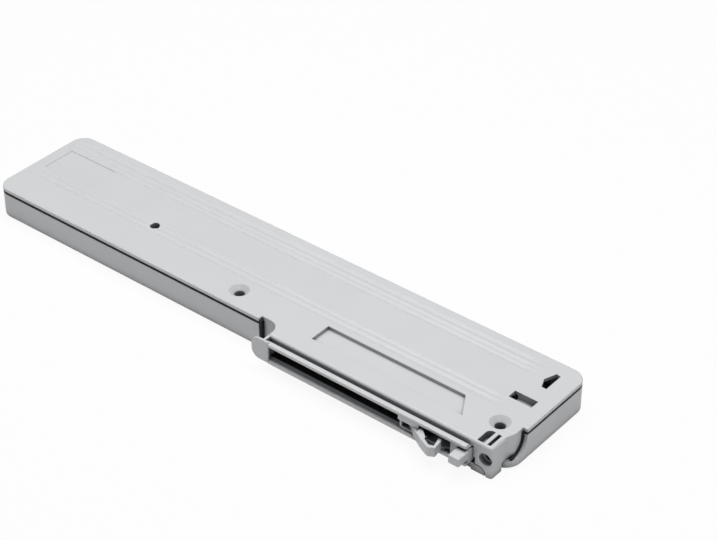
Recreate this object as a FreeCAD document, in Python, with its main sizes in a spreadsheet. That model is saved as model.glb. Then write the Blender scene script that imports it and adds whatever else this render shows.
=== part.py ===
import FreeCAD, Part
import math
import os
import Sketcher

# Soft-close damper unit for a sliding cabinet door, with its long flat housing lying on its back face.
# X runs from the plain end to the mechanism end, Y from the mechanism side to the far side, Z up.
# The origin is the middle of the plain housing's back face. All sizes are in millimetres.

SIZES = (
    ("housing_length", 300.0, "housing, plain end to mechanism end"),
    ("housing_width", 57.7, "housing across its plain part"),
    ("housing_height", 16.0, "housing over both shells"),
    ("plate", 2.0, "thickness of the tray's floor"),
    ("lid_plate", 1.6, "thickness of the lid's plate"),
    ("wall", 1.5, "thickness of the tray's side walls"),
    ("seam_gap", 1.5, "open shadow joint between the two shells"),
    ("gasket_inset", 0.4, "black gasket in the joint, behind the outer faces"),
    ("gasket_width", 2.2, "width of the gasket"),
    ("gasket_show", 1.1, "gasket seen inside the scooped end wall"),
    ("gasket_leaf", 0.8, "thickness of the gasket there"),
    ("corner_radius", 7.2, "plain corners of the housing seen from above"),
    ("lower_edge_radius", 1.2, "rounding of the tray's lower outer edge"),
    ("upper_edge_radius", 0.5, "rounding of the lid's upper edge"),
    ("bay_edge_radius", 1.4, "softer rounding of that edge along the bay"),
    ("clearance", 0.15, "gap between parts that only pass each other"),
    ("running_gap", 0.05, "radial gap of a running fit"),
    ("rim_inset", 3.2, "lid's inner rim, from the outside"),
    ("rim_thickness", 1.2, "thickness of that rim"),
    ("rim_drop", 3.0, "how far the lid's inner rim reaches down"),
    ("rim_near_length", 158.0, "length of the rim on the mechanism side"),
    ("bay_length", 123.1, "mechanism bay, from the housing's end"),
    ("bay_reach", 6.0, "how far the bay stands out of the plain side"),
    ("bay_inset", 0.2, "tray's bay wall behind the lid's"),
    ("bay_wall_gap", 0.3, "gap between the tray's bay wall and the lid's walls at its ends"),
    ("bay_back", 0.9, "back of the bay, inside the plain side"),
    ("bay_sill", 3.9, "height of the tray's wall along the bay"),
    ("notch_length", 10.7, "notch beside the bay"),
    ("notch_depth", 2.3, "depth of that notch"),
    ("notch_radius", 5.9, "round end of that notch"),
    ("notch_slit", 1.2, "open joint between the tray and the lid's wall in the notch"),
    ("block_inset", 3.7, "end block's face behind the housing's end"),
    ("block_width", 9.3, "end block along the housing"),
    ("block_depth", 7.0, "end block across the housing"),
    ("block_top_depth", 10.0, "the same above its undercut"),
    ("block_radius", 1.4, "end block's upright corner"),
    ("block_undercut", 0.9, "end block narrower below"),
    ("block_undercut_top", 7.4, "height of that undercut"),
    ("shoulder_inset", 2.3, "lid's shoulder behind the housing's end"),
    ("shoulder_reach", 13.3, "shoulder, from the plain side"),
    ("shoulder_start", 4.4, "where the shoulder leaves the block"),
    ("shoulder_rise", 3.6, "length of the slope of the shoulder"),
    ("skirt_thickness", 1.8, "lid's skirt behind the shoulder"),
    ("skirt_bottom", 4.3, "lower edge of that skirt"),
    ("end_corner_inset", 1.2, "tray's rounded corner beside the end block"),
    ("end_corner_radius", 8.3, "radius of that corner"),
    ("scoop_reach", 13.2, "tray's end wall is scooped out up to here"),
    ("scoop_radius", 8.2, "radius of the scoop"),
    ("tongue_length", 5.4, "tongue of the tray in front of the end block"),
    ("tongue_height", 3.4, "height of that tongue"),
    ("tongue_thickness", 1.4, "thickness of that tongue"),
    ("tongue_radius", 3.0, "round end of that tongue"),
    ("tongue_gap", 0.7, "gap round that tongue"),
    ("recess_start", 106.7, "sunken panel, from the housing's end"),
    ("recess_end", 32.8, "sunken panel's long edge ends here"),
    ("recess_slant", 6.7, "slant of the sunken panel's end"),
    ("recess_near", 3.6, "sunken panel's near edge"),
    ("recess_far", 14.95, "sunken panel's far edge"),
    ("recess_depth", 1.7, "depth of the sunken panel"),
    ("recess_floor", 1.4, "floor and wall of the sunken panel"),
    ("screw_hole", 4.8, "countersunk screw holes"),
    ("screw_head", 9.3, "their countersinks"),
    ("screw_column", 11.0, "columns round the screw holes"),
    ("end_screw_x", 11.5, "end screw, from the housing's end"),
    ("end_screw_y", 10.0, "end screw, from the plain side"),
    ("middle_screw_x", 154.1, "middle screw, from the housing's end"),
    ("middle_screw_y", 10.2, "middle screw, from the plain side"),
    ("pilot_hole", 4.6, "plain hole"),
    ("pilot_column", 6.8, "column round the plain hole"),
    ("pilot_x", 82.2, "plain hole, from the plain end"),
    ("pilot_y", 22.8, "plain hole, from the plain side"),
    ("side_hole", 3.4, "hole in the end block's face"),
    ("side_hole_depth", 6.5, "depth of that hole"),
    ("side_counterbore", 6.2, "its counterbore"),
    ("side_counterbore_depth", 2.5, "depth of the counterbore"),
    ("side_hole_x", 7.1, "side hole, from the housing's end"),
    ("side_hole_z", 8.85, "height of the side hole"),
    ("slot_depth", 3.6, "depth of the moulded slots in the lid"),
    ("ripple_depth", 0.42, "depth of the fine ripples along the lid"),
    ("ripple_margin", 3.5, "ripples start this far from the plain end"),
    ("ripple_end", 17.0, "ripples end this far from the housing's end"),
    ("ripple_ramp", 9.0, "length over which the ripples fade out at both ends"),
    ("label_depth", 0.15, "depth of the bare label panel"),
    ("rail_reach", 10.1, "rail's mouth, out of the plain side"),
    ("rail_start", 121.7, "rail's closed end, from the housing's end"),
    ("rail_end", 14.1, "rail's open end, from the housing's end"),
    ("rail_back", 0.5, "rail's back face, out of the plain side"),
    ("rail_wall", 1.2, "rail's back web and front lips"),
    ("rail_floor", 1.3, "rail's lower flange"),
    ("strip_start", 4.0, "rail's black running strip, behind its mouth"),
    ("strip_thickness", 0.4, "thickness of the running strip"),
    ("rail_lip_rise", 0.5, "lower lip above the channel's floor"),
    ("rail_height", 9.0, "rail from its lower to its upper flange"),
    ("rail_roof", 1.0, "rail's upper flange"),
    ("rail_edge", 0.5, "rounding of the rail's front edges"),
    ("lip_depth", 2.2, "upper lip, seen from above"),
    ("lip_height", 1.4, "upper lip's front"),
    ("lip_rise", 1.7, "upper lip above the upper flange"),
    ("cheek_width", 9.5, "round cheek over the rail's closed end"),
    ("cheek_bottom", 4.2, "cheek's lower edge"),
    ("cheek_top", 15.5, "cheek's upper edge"),
    ("cheek_thickness", 1.0, "cheek's thickness"),
    ("cheek_edge", 0.35, "rounding of the cheek's front edge"),
    ("cheek_radius", 4.5, "cheek's round corners"),
    ("cheek_corner", 1.2, "cheek's corner over the rail"),
    ("cheek_overlap", 3.2, "cheek past the bay's end wall"),
    ("end_wall", 1.2, "bay's end wall"),
    ("bay_side", 1.4, "lid's wall above the rail"),
    ("travel", 68.0, "carriage's travel along the rail"),
    ("carriage_start", 48.8, "carriage's far end, from the housing's end"),
    ("carriage_end", 13.4, "carriage's near end, from the housing's end"),
    ("carriage_gap", 0.1, "carriage's running gap in the rail"),
    ("carriage_floor", 1.5, "carriage's floor plate"),
    ("carriage_roof", 1.0, "carriage's upper plate over the claw's hub"),
    ("carriage_front", 10.0, "carriage's face plate, out of the plain side"),
    ("carriage_face", 1.0, "thickness of the face plate and the back wall"),
    ("carriage_side_gap", 0.2, "carriage's gap to the rail's lips and web"),
    ("back_wall_start", 15.5, "carriage's far back wall, from its far end"),
    ("head_length", 10.8, "carriage's head that holds the claw"),
    ("stop_block", 9.3, "carriage's stop block"),
    ("back_wall_reach", 4.2, "carriage's far back wall, out of the plain side"),
    ("finger_width", 5.6, "fixed finger on the stop block"),
    ("finger_reach", 15.5, "finger's tip, out of the plain side"),
    ("finger_height", 4.6, "height of the finger"),
    ("finger_edge", 0.8, "rounding of the finger's edges"),
    ("finger_bottom", 7.1, "finger's lower face"),
    ("neck_width", 8.0, "carriage's neck through the rail's web"),
    ("neck_height", 3.0, "height of the neck"),
    ("neck_bottom", 7.0, "lower face of the neck"),
    ("neck_reach", 6.2, "neck's end inside the housing"),
    ("claw_pin_radius", 1.0, "claw's hinge pin"),
    ("claw_pin_x", 5.6, "hinge pin, from the carriage's far end"),
    ("claw_pin_y", 5.4, "hinge pin, out of the plain side"),
    ("claw_hub_radius", 2.5, "claw's hub"),
    ("claw_height", 4.75, "claw's height at its catch"),
    ("claw_arm_height", 3.7, "claw's height at its hub"),
    ("claw_floor", 1.3, "floor of the claw's pocket"),
    ("latch_notch_radius", 1.6, "round notch in the carriage's floor"),
    ("latch_notch_x", 11.0, "that notch, from the carriage's near end"),
    ("bar_thickness", 2.4, "draw bar's thickness"),
    ("bar_bottom", 4.6, "draw bar's lower face"),
    ("bar_head_length", 12.0, "draw bar's cross head along the housing"),
    ("bar_head_width", 20.4, "draw bar's cross head across the housing"),
    ("bar_stem_width", 8.0, "draw bar's stem"),
    ("bar_past_neck", 2.0, "draw bar past the carriage's neck"),
    ("bar_web_gap", 0.3, "draw bar's arm behind the plain side"),
    ("bar_length", 76.0, "draw bar along the housing"),
    ("bar_arm_width", 12.0, "draw bar's arm to the carriage"),
    ("coupling_pin_radius", 1.5, "pin between the carriage and the draw bar"),
    ("coupling_head_radius", 2.6, "that pin's head"),
    ("coupling_head", 1.0, "height of that head"),
    ("coupling_pin_y", 3.2, "that pin, inside the plain side"),
    ("damper_axis_y", 37.2, "damper's axis, from the plain side"),
    ("damper_axis_z", 8.6, "height of the damper's axis"),
    ("tube_radius", 4.7, "damper's tube"),
    ("tube_bore", 4.0, "radius of the tube's bore"),
    ("tube_start", 14.0, "tube, from the plain end"),
    ("tube_length", 98.0, "length of the tube"),
    ("plug_flange", 2.0, "flanges of the end plug and the gland"),
    ("plug_spigot", 6.0, "end plug inside the tube"),
    ("gland_spigot", 7.0, "gland inside the tube"),
    ("rod_radius", 1.5, "piston rod"),
    ("seal_length", 2.0, "rod's seal"),
    ("piston_length", 6.0, "piston"),
    ("piston_groove_radius", 3.2, "bottom of the piston's seal groove"),
    ("piston_seal_length", 1.6, "piston's seal"),
    ("piston_lead", 1.0, "piston before the rod's seal"),
    ("clip_length", 9.0, "rod's clip on the draw bar"),
    ("clip_width", 7.0, "width of the clip"),
    ("clip_height", 5.0, "height of the clip"),
    ("clip_blind", 2.0, "clip past the rod's end"),
    ("clip_peg_radius", 1.25, "clip's peg in the draw bar"),
    ("saddle", 2.5, "saddles and stops under the damper"),
    ("saddle_margin", 0.15, "saddles beyond the tube's radius"),
    ("saddle_inset", 11.0, "saddles, from the tube's ends"),
    ("stop_height", 3.0, "stops above the damper's axis"),
    ("front_stop", 1.9, "thickness of the forked stop at the gland"),
    ("runner_width", 1.2, "runners under the draw bar"),
    ("runner_inset", 1.6, "runners, inside the draw bar's cross head"),
    ("runner_gap", 0.1, "draw bar's gap over its runners"),
    ("spring_offset", 7.7, "springs beside the damper's axis"),
    ("coil_radius", 2.2, "mean radius of a spring"),
    ("wire_radius", 0.4, "spring wire"),
    ("coil_turns", 44.0, "turns of a spring"),
    ("post_radius", 1.5, "posts that hold the springs' eyes"),
    ("post_shoulder", 1.0, "shoulders under the eyes, beyond the posts"),
    ("eye_seat_gap", 0.1, "eyes' gap over those shoulders"),
    ("post_height", 11.2, "upper end of the posts"),
    ("eye_width", 1.0, "ring of a spring's eye"),
    ("eye_thickness", 1.4, "thickness of an eye"),
    ("eye_plug", 8.0, "eye's plug inside the spring"),
    ("eye_shank", 0.6, "radius of the eye's shank"),
    ("eye_neck", 1.0, "bare shank between the ring and the plug"),
    ("coil_start", 2.0, "coil's end, from the ring of its eye"),
    ("coil_slack", 0.25, "radial play of the eye's plug inside the coil"),
    ("fixed_eye_x", 14.0, "fixed posts, from the plain end"),
    ("moving_eye_x", 3.3, "moving posts, from the draw bar's end"),
    ("clip_x", 6.0, "rod's clip, from the draw bar's end"),
    ("leaf_thickness", 0.35, "claw's leaf spring"),
    ("leaf_width", 2.8, "width of the leaf spring"),
    ("slot_play", 0.5, "play of the neck in the slot of the rail's web"),
    ("slot_run_out", 1.5, "slot past the neck at both ends of the travel"),
)

# The claw's outline seen from above, as steps from its hinge pin.
CLAW_OUTLINE = (
    (-2.2, -1.2), (3.4, -5.6), (9.2, -9.2), (14.5, -11.6), (15.6, -11.7), (18.0, -10.3), (17.3, -5.2),
    (16.3, -3.8), (15.2, -4.3), (15.8, -5.6), (16.7, -9.4), (14.9, -10.4), (11.0, -8.3), (10.8, -7.3),
    (5.6, -3.0), (1.8, 1.7),
)
# The raised catch of the claw and the floor of its pocket, as steps from the same pin.
CATCH_OUTLINE = (
    (6.0, -7.3), (9.2, -9.2), (14.5, -11.6), (15.6, -11.7), (18.0, -10.3), (17.3, -5.2), (16.3, -3.8),
    (15.2, -4.3), (15.8, -5.6), (16.7, -9.4), (14.9, -10.4), (11.0, -8.3), (10.8, -7.3), (6.0, -3.35),
)
POCKET_OUTLINE = ((10.8, -7.3), (15.8, -5.6), (16.7, -9.4), (14.9, -10.4), (11.0, -8.3))
# The leaf spring behind the claw, as steps from the same pin.
LEAF_PATH = ((3.2, 2.45), (5.4, 2.45), (9.9, -5.4))
# Fine ripples along the lid: each has its near edge, bottom and far edge, from the plain side.
RIPPLES = ((17.8, 19.6, 21.2), (21.2, 22.95, 24.4), (43.6, 45.2, 46.8), (46.8, 48.0, 49.6), (49.6, 51.4, 53.4))
# What is left of a ripple's depth where it fades out.
RIPPLE_FADED = 0.03
# Openings in the lid near the end block: x is measured back from the housing's end.
EYE_SLOT = ((12.25, -4.75), (9.0, -4.75), (9.0, 3.55), (12.25, 3.55))
EYE_SLOT_RADIUS = 2.4
THIN_SLOT = ((7.35, -4.65), (5.75, -4.65), (5.75, 3.3), (7.35, 3.3))
SQUARE_SLOT = ((18.5, 25.4), (6.9, 25.4), (6.9, 30.2), (18.5, 30.2))
SQUARE_SLOT_SHELF = 17.0
SQUARE_SLOT_RIM = 1.0
FIVE_SIDED_SLOT = ((9.1, 39.1), (9.1, 49.6), (11.4, 50.1), (13.6, 44.0), (11.6, 39.2))
# The bare label panel near the plain end, from the plain end and side.
LABEL_PANEL = ((6.6, 26.0), (36.0, 26.0), (36.0, 43.4), (6.6, 43.4))

# How far joined shapes reach into each other, and how far a cut reaches past what it cuts.
MERGE = 0.4
OVERSHOOT = 1.0

doc = FreeCAD.newDocument("cabinet_damper")
sheet = doc.addObject("Spreadsheet::Sheet", "Sizes")


class Size:
    """A dimension that keeps its number together with the expression that gives it."""

    def __init__(self, number, text):
        self.number = float(number)
        self.text = text

    def __float__(self):
        return self.number

    def __neg__(self):
        return Size(-self.number, f"(0 - {self.text})")

    def __add__(self, other):
        other = as_size(other)
        return Size(self.number + other.number, f"({self.text} + {other.text})")

    def __sub__(self, other):
        other = as_size(other)
        return Size(self.number - other.number, f"({self.text} - {other.text})")

    def __mul__(self, other):
        other = as_size(other)
        return Size(self.number * other.number, f"({self.text} * {other.text})")

    def __truediv__(self, other):
        other = as_size(other)
        return Size(self.number / other.number, f"({self.text} / {other.text})")


def as_size(value):
    if isinstance(value, Size):
        return value
    if value < 0:
        return Size(value, f"(0 - {-value!r})")
    return Size(value, repr(float(value)))


def fill_sheet():
    for row, (name, number, note) in enumerate(SIZES, start=1):
        sheet.set(f"A{row}", name)
        sheet.set(f"B{row}", str(number))
        sheet.set(f"C{row}", note)
        sheet.setAlias(f"B{row}", name)
    doc.recompute()


def size(name):
    return Size(sheet.get(name), f"Sizes.{name}")


def bind(target, path, value):
    target.setExpression(path, as_size(value).text)


def new_body(label):
    body = doc.addObject("PartDesign::Body", label)
    body.Label = label
    return body


def new_sketch(body, role, offset):
    plane = [part for part in body.Origin.OriginFeatures if part.Role == role][0]
    sketch = body.newObject("Sketcher::SketchObject", "sketch")
    sketch.AttachmentSupport = [(plane, "")]
    sketch.MapMode = "FlatFace"
    bind(sketch, "AttachmentOffset.Base.z", offset)
    return sketch


def pin_point(sketch, geometry, point, across, up):
    for kind, value in (("DistanceX", across), ("DistanceY", up)):
        value = as_size(value)
        index = sketch.addConstraint(Sketcher.Constraint(kind, -1, 1, geometry, point, value.number))
        sketch.setExpression(f"Constraints[{index}]", value.text)


def rounded_corner(before, corner, after, radius):
    """Start and end of the arc that rounds a right-angled corner."""
    ends = []
    for neighbour in (before, after):
        if abs(float(neighbour[0]) - float(corner[0])) > abs(float(neighbour[1]) - float(corner[1])):
            step = radius if float(neighbour[0]) > float(corner[0]) else -radius
            ends.append((corner[0] + step, corner[1]))
        else:
            step = radius if float(neighbour[1]) > float(corner[1]) else -radius
            ends.append((corner[0], corner[1] + step))
    return ends


def draw_outline(sketch, points):
    """Closed outline of straight lines. A point with a third value has its right angle rounded."""
    points = [tuple(as_size(value) for value in point) for point in points]
    spans = []
    for place, point in enumerate(points):
        before, after = points[place - 1], points[(place + 1) % len(points)]
        if len(point) == 3:
            spans.append(rounded_corner(before, point, after, point[2]) + [point])
        else:
            spans.append([point, point, point])
    links = []
    for place, (start, end, corner) in enumerate(spans):
        a, b = [FreeCAD.Vector(float(p[0]), float(p[1]), 0) for p in (start, end)]
        if start is not end:
            sharp = FreeCAD.Vector(float(corner[0]), float(corner[1]), 0)
            centre = a + b - sharp
            middle = centre + (sharp - centre).normalize() * float(corner[2])
            arc = sketch.addGeometry(Part.Arc(a, middle, b), False)
            links.append(("arc", arc, start, end, corner[2], (a, b)))
        following = spans[(place + 1) % len(spans)][0]
        c = FreeCAD.Vector(float(following[0]), float(following[1]), 0)
        line = sketch.addGeometry(Part.LineSegment(b, c), False)
        links.append(("line", line, end, following, None, (b, c)))
    for place, (_, index, _, _, _, ends) in enumerate(links):
        _, next_index, _, _, _, next_ends = links[(place + 1) % len(links)]
        own_end = end_point(sketch, index, ends[1])
        next_start = end_point(sketch, next_index, next_ends[0])
        sketch.addConstraint(Sketcher.Constraint("Coincident", index, own_end, next_index, next_start))
    for kind, index, start, _, radius, ends in links:
        pin_point(sketch, index, end_point(sketch, index, ends[0]), start[0], start[1])
        if kind == "arc":
            row = sketch.addConstraint(Sketcher.Constraint("Radius", index, radius.number))
            sketch.setExpression(f"Constraints[{row}]", radius.text)


def end_point(sketch, index, place):
    """Which end of a line or an arc lies at this place: an arc may be stored the other way round."""
    return 1 if sketch.getPoint(index, 1).distanceToPoint(place) < 1e-6 else 2


def draw_circle(sketch, across, up, radius):
    radius = as_size(radius)
    middle = FreeCAD.Vector(float(as_size(across)), float(as_size(up)), 0)
    index = sketch.addGeometry(Part.Circle(middle, FreeCAD.Vector(0, 0, 1), radius.number), False)
    pin_point(sketch, index, 3, across, up)
    row = sketch.addConstraint(Sketcher.Constraint("Radius", index, radius.number))
    sketch.setExpression(f"Constraints[{row}]", radius.text)


def extrude(body, kind, sketch, length, reverse=False):
    feature = body.newObject(f"PartDesign::{kind}", kind.lower())
    feature.Profile = sketch
    feature.Reversed = reverse
    bind(feature, "Length", length)
    doc.recompute()
    return feature


def rectangle(x0, x1, y0, y1):
    return [(x0, y0), (x1, y0), (x1, y1), (x0, y1)]


def add_plan(body, points, bottom, top):
    """Material with this outline seen from above, between two heights."""
    sketch = new_sketch(body, "XY_Plane", bottom)
    draw_outline(sketch, points)
    return extrude(body, "Pad", sketch, as_size(top) - bottom)


def cut_plan(body, points, bottom, top):
    sketch = new_sketch(body, "XY_Plane", bottom)
    draw_outline(sketch, points)
    return extrude(body, "Pocket", sketch, as_size(top) - bottom, reverse=True)


def add_round(body, places, radius, bottom, top):
    for x, y in places:
        sketch = new_sketch(body, "XY_Plane", bottom)
        draw_circle(sketch, x, y, radius)
        extrude(body, "Pad", sketch, as_size(top) - bottom)


def cut_round(body, places, radius, bottom, top):
    for x, y in places:
        sketch = new_sketch(body, "XY_Plane", bottom)
        draw_circle(sketch, x, y, radius)
        extrude(body, "Pocket", sketch, as_size(top) - bottom, reverse=True)


def side_sketch(body, y):
    """Sketch in a plane across Y: its own axes are X and Z, and it faces the mechanism side."""
    return new_sketch(body, "XZ_Plane", -as_size(y))


def end_sketch(body, x):
    """Sketch in a plane across X: its own axes are Y and Z, and it faces the mechanism end."""
    return new_sketch(body, "YZ_Plane", x)


def dress_edges(body, kind, edges, value):
    """Fillet or chamfer on the chosen edges of the body's last feature."""
    base = body.Tip
    names = [f"Edge{number}" for number, edge in enumerate(base.Shape.Edges, start=1) if edges(edge)]
    feature = body.newObject(f"PartDesign::{kind}", kind.lower())
    feature.Base = (base, names)
    bind(feature, "Radius" if kind == "Fillet" else "Size", value)
    doc.recompute()
    return feature


def at_height(z):
    def test(edge):
        box = edge.BoundBox
        return abs(box.ZMin - float(as_size(z))) < 1e-4 and abs(box.ZMax - float(as_size(z))) < 1e-4
    return test


def in_plane_y(y):
    def test(edge):
        box = edge.BoundBox
        return abs(box.YMin - float(as_size(y))) < 1e-4 and abs(box.YMax - float(as_size(y))) < 1e-4
    return test


def ring_at(x, y, z, radius):
    def test(edge):
        centre = edge.BoundBox.Center
        near = math.hypot(centre.x - float(as_size(x)), centre.y - float(as_size(y))) < 1e-3
        wide = abs(edge.BoundBox.XLength - 2 * float(as_size(radius))) < 1e-3
        return near and wide and at_height(z)(edge)
    return test


def in_front_of(y):
    def test(edge):
        return edge.BoundBox.YMax < float(as_size(y)) or (
            edge.BoundBox.YMin < float(as_size(y)) and edge.BoundBox.ZLength < 1e-4
            and abs(edge.BoundBox.XLength) < 1e-4)
    return test


def along_the_bay(edge):
    """The lid's long upper edge over the bay; the fillet runs on round the end block's corner."""
    box = edge.BoundBox
    return at_height(height)(edge) and abs(box.YMax - float(bay_y)) < 1e-4 and box.XLength > 1


def off_the_bay(edge):
    """The lid's other upper edges."""
    box = edge.BoundBox
    on_block = box.XMin > float(bay_x) + 1e-4 and box.YMin < float(bay_y + size("block_radius")) + 1e-4
    return at_height(height)(edge) and not on_block and not along_the_bay(edge)


def shifted(points, x, y, mirror=False):
    """Points given as steps from a place, or as distances back from the housing's end."""
    return [(x - step[0] if mirror else x + step[0], y + step[1]) for step in points]


fill_sheet()
start_x = size("housing_length") / -2
end_x = size("housing_length") / 2
near_y = size("housing_width") / -2
far_y = size("housing_width") / 2
height = size("housing_height")
plate = size("plate")
wall = size("wall")
corner = size("corner_radius")
lid_bottom = height - size("lid_plate")
tray_top = lid_bottom - size("seam_gap")
column_joint = height / 2
bay_x = end_x - size("bay_length")
bay_y = near_y - size("bay_reach")
notch_x = bay_x - size("notch_length")
notch_y = near_y + size("notch_depth")
block_right = end_x - size("block_inset")
block_left = block_right - size("block_width")
shoulder_x = end_x - size("shoulder_inset")
rail_bottom = size("bay_sill")
rail_top = rail_bottom + size("rail_height")
rail_front = near_y - size("rail_reach")
rail_left = end_x - size("rail_start")
rail_right = end_x - size("rail_end")
screws = [
    (end_x - size("middle_screw_x"), near_y + size("middle_screw_y")),
    (end_x - size("end_screw_x"), near_y + size("end_screw_y")),
]
pilot = [(start_x + size("pilot_x"), near_y + size("pilot_y"))]
carriage_left = end_x - size("carriage_start")
carriage_right = end_x - size("carriage_end")
claw_x = carriage_left + size("claw_pin_x")
claw_y = near_y - size("claw_pin_y")
carriage_bottom = rail_bottom + size("rail_floor") + size("carriage_gap")
channel_top = rail_top - size("rail_roof")
carriage_top = channel_top - size("carriage_gap")
floor_top = carriage_bottom + size("carriage_floor")
roof_bottom = carriage_top - size("carriage_roof")
neck_left = carriage_left + size("carriage_face")
bar_right = neck_left + size("neck_width") + size("bar_past_neck")
bar_left = bar_right - size("bar_length")
bar_top = size("bar_bottom") + size("bar_thickness")
carriage_back = near_y - size("rail_back") - size("rail_wall") - size("carriage_side_gap")
sill_x = bay_x + size("bay_wall_gap")
sill_y = bay_y + size("bay_inset")
sill_end = block_left + size("bay_wall_gap")
tongue_end = sill_end + size("tongue_length")
eye_seat = size("damper_axis_z") - size("eye_thickness") / 2 - size("eye_seat_gap")
damper_y = near_y + size("damper_axis_y")
damper_z = size("damper_axis_z")
spring_ys = {"front": damper_y - size("spring_offset"), "back": damper_y + size("spring_offset")}
fixed_post_x = start_x + size("fixed_eye_x")
moving_post_x = bar_left + size("moving_eye_x")
clip_x = bar_left + size("clip_x")
tube_left = start_x + size("tube_start")
tube_right = tube_left + size("tube_length")
gland_front = tube_right + size("plug_flange")
recess_outline = [
    (end_x - size("recess_start"), near_y + size("recess_near")),
    (end_x - size("recess_end") + size("recess_slant"), near_y + size("recess_near")),
    (end_x - size("recess_end"), near_y + size("recess_far")),
    (end_x - size("recess_start"), near_y + size("recess_far")),
]
recess_shell = rectangle(
    recess_outline[0][0] - size("recess_floor"), recess_outline[1][0] + size("recess_floor"),
    recess_outline[0][1] - size("recess_floor"), recess_outline[2][1] + size("recess_floor"))


def add_screw_column(body, bottom, top):
    add_round(body, screws, size("screw_column") / 2, bottom, top)
    add_round(body, pilot, size("pilot_column") / 2, bottom, top)


def drill_screw_holes(body, bottom, top, face):
    """Through holes, with countersinks at the outer face."""
    cut_round(body, screws, size("screw_hole") / 2, bottom, top)
    cut_round(body, pilot, size("pilot_hole") / 2, bottom, top)
    for x, y in screws:
        dress_edges(body, "Chamfer", ring_at(x, y, face, size("screw_hole") / 2),
                    (size("screw_head") - size("screw_hole")) / 2)


def make_tray():
    """Lower shell: floor, side walls, a low sill along the bay, posts and saddles inside."""
    body = new_body("tray")
    corner_y = near_y + size("end_corner_inset")
    add_plan(body, [
        (start_x, near_y, corner), (notch_x, near_y), (notch_x, notch_y),
        (sill_x, notch_y, size("notch_radius")), (sill_x, sill_y), (sill_end, sill_y), (sill_end, corner_y),
        (end_x, corner_y, size("end_corner_radius")), (end_x, far_y, corner), (start_x, far_y, corner),
    ], 0, tray_top)
    dress_edges(body, "Fillet", at_height(0), size("lower_edge_radius"))
    inner_corner = corner - wall
    cut_plan(body, [
        (start_x + wall, near_y + wall, inner_corner), (notch_x - wall, near_y + wall),
        (notch_x - wall, notch_y + wall), (sill_x + wall, notch_y + wall), (sill_x + wall, sill_y + wall),
        (sill_end - wall, sill_y + wall), (sill_end - wall, corner_y + wall),
        (end_x - wall, corner_y + wall, size("end_corner_radius") - wall),
        (end_x - wall, far_y - wall, inner_corner), (start_x + wall, far_y - wall, inner_corner),
    ], plate, tray_top + OVERSHOOT)
    front_cut = bay_y - OVERSHOOT
    for left, right, back in ((notch_x + wall, sill_end + OVERSHOOT, near_y + size("bay_back")),
                              (notch_x, bay_x + wall * 2, notch_y + wall + size("clearance"))):
        cut_plan(body, rectangle(left, right, front_cut, back), size("bay_sill"), tray_top + OVERSHOOT)
    scoop_x = sill_end - wall - MERGE
    scoop = end_sketch(body, scoop_x)
    rim_y = near_y + size("scoop_reach")
    draw_outline(scoop, [
        (front_cut, size("bay_sill")), (rim_y, size("bay_sill"), size("scoop_radius")),
        (rim_y, tray_top + OVERSHOOT), (front_cut, tray_top + OVERSHOOT)])
    extrude(body, "Pocket", scoop, end_x + OVERSHOOT - scoop_x, reverse=True)
    tongue = side_sketch(body, sill_y)
    draw_outline(tongue, [
        (sill_end - wall, 0), (tongue_end, 0), (tongue_end, size("tongue_height"), size("tongue_radius")),
        (sill_end - wall, size("tongue_height"))])
    extrude(body, "Pad", tongue, size("tongue_thickness"), reverse=True)
    add_plan(body, recess_shell, plate - MERGE, size("recess_depth") + size("recess_floor"))
    cut_plan(body, recess_outline, -OVERSHOOT, size("recess_depth"))
    add_screw_column(body, plate - MERGE, column_joint)
    drill_screw_holes(body, -OVERSHOOT, column_joint + OVERSHOOT, 0)
    for y in spring_ys.values():
        add_round(body, [(fixed_post_x, y)], size("post_radius") + size("post_shoulder"), plate - MERGE,
                  eye_seat)
        add_round(body, [(fixed_post_x, y)], size("post_radius"), plate, size("post_height"))
    add_saddles(body)
    return body


def add_saddles(body):
    """Stops before and behind the damper, two saddles under it and two runners for the draw bar."""
    reach = size("tube_radius") + size("saddle_margin")
    saddle = size("saddle")
    rear = tube_left - size("plug_flange")
    front = gland_front + size("front_stop")
    add_plan(body, rectangle(rear - saddle, rear, damper_y - reach, damper_y + reach),
             plate - MERGE, damper_z + size("stop_height"))
    for x in (tube_left + size("saddle_inset"), tube_right - size("saddle_inset") - saddle):
        add_plan(body, rectangle(x, x + saddle, damper_y - reach, damper_y + reach),
                 plate - MERGE, damper_z - size("tube_radius") / 2)
    seat = end_sketch(body, tube_left)
    draw_circle(seat, damper_y, damper_z, size("tube_radius") + size("running_gap"))
    extrude(body, "Pocket", seat, size("tube_length"), reverse=True)
    add_plan(body, rectangle(gland_front, front, damper_y - reach, damper_y + reach),
             plate - MERGE, damper_z + size("stop_height"))
    fork = size("rod_radius") + size("bar_web_gap")
    cut_plan(body, rectangle(gland_front - OVERSHOOT, front + OVERSHOOT, damper_y - fork, damper_y + fork),
             damper_z - fork, damper_z + size("stop_height") + OVERSHOOT)
    runner = size("bar_head_width") / 2 - size("runner_inset")
    for y in (damper_y - runner, damper_y + runner - size("runner_width")):
        add_plan(body, rectangle(front, bar_left + size("bar_head_length"), y, y + size("runner_width")),
                 plate - MERGE, size("bar_bottom") - size("runner_gap"))


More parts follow.
